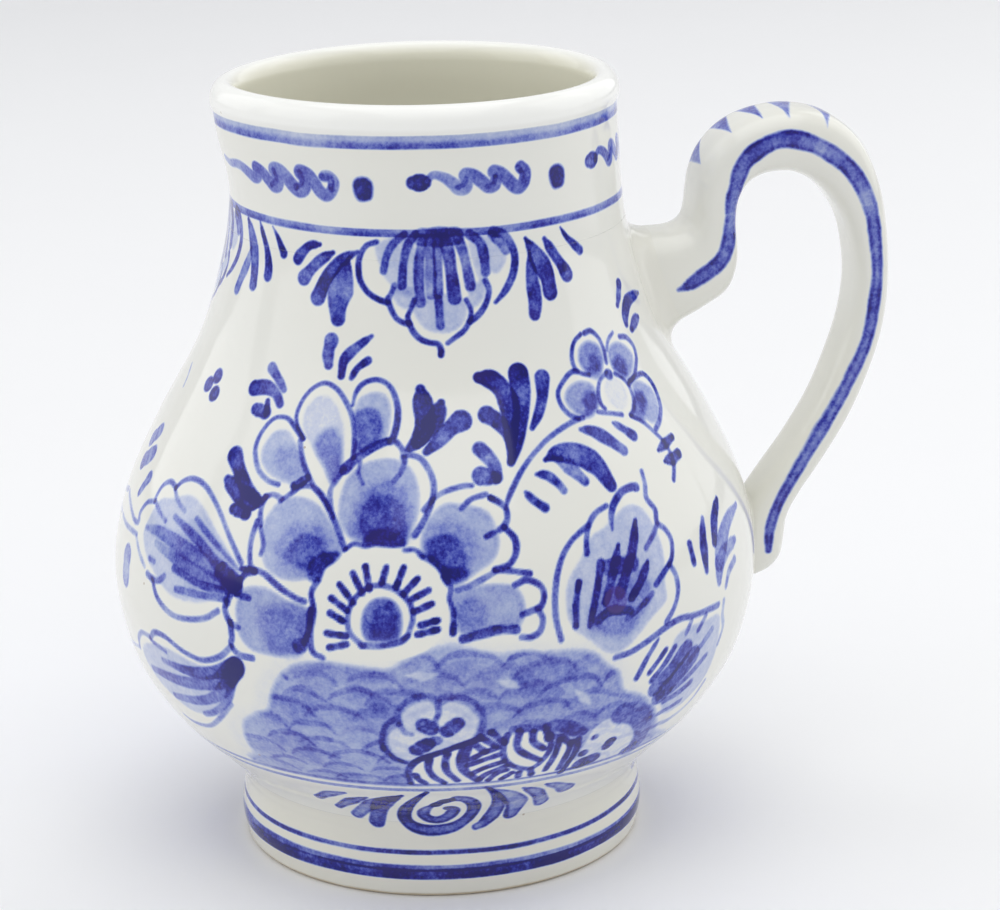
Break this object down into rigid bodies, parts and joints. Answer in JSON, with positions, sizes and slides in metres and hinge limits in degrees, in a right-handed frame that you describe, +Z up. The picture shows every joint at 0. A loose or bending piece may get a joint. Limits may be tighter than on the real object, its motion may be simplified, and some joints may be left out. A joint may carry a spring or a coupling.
{
  "type": "cream jug",
  "caption": "Pear-shaped porcelain cream jug on a foot ring, with a rolled rim, a pulled pouring lip and a loop handle luted to one side.",
  "frame": {"origin": "centre of the foot ring's hollow, in the plane that the jug stands on", "axes": "+Z up the jug's axis, +X towards the handle, the pouring lip on -X"},
  "size_m": [0.1111, 0.091, 0.11],
  "materials": {
    "painted_glaze": "glossy cream-white glaze over brushed cobalt painting",
    "foot_glaze": "glossy glaze with a bare standing edge",
    "handle_glaze": "glossy cream-white glaze with a cobalt stripe",
    "slip_glaze": "glossy glaze pooled over slip",
    "base_glaze": "glossy glaze"
  },
  "bodies": {
    "root": {"foot_ring": "foot_glaze", "base_disc": "base_glaze", "belly": "painted_glaze", "collar": "painted_glaze", "handle": "handle_glaze", "upper_lute": "slip_glaze", "lower_lute": "slip_glaze"}
  },
  "joints": []
}
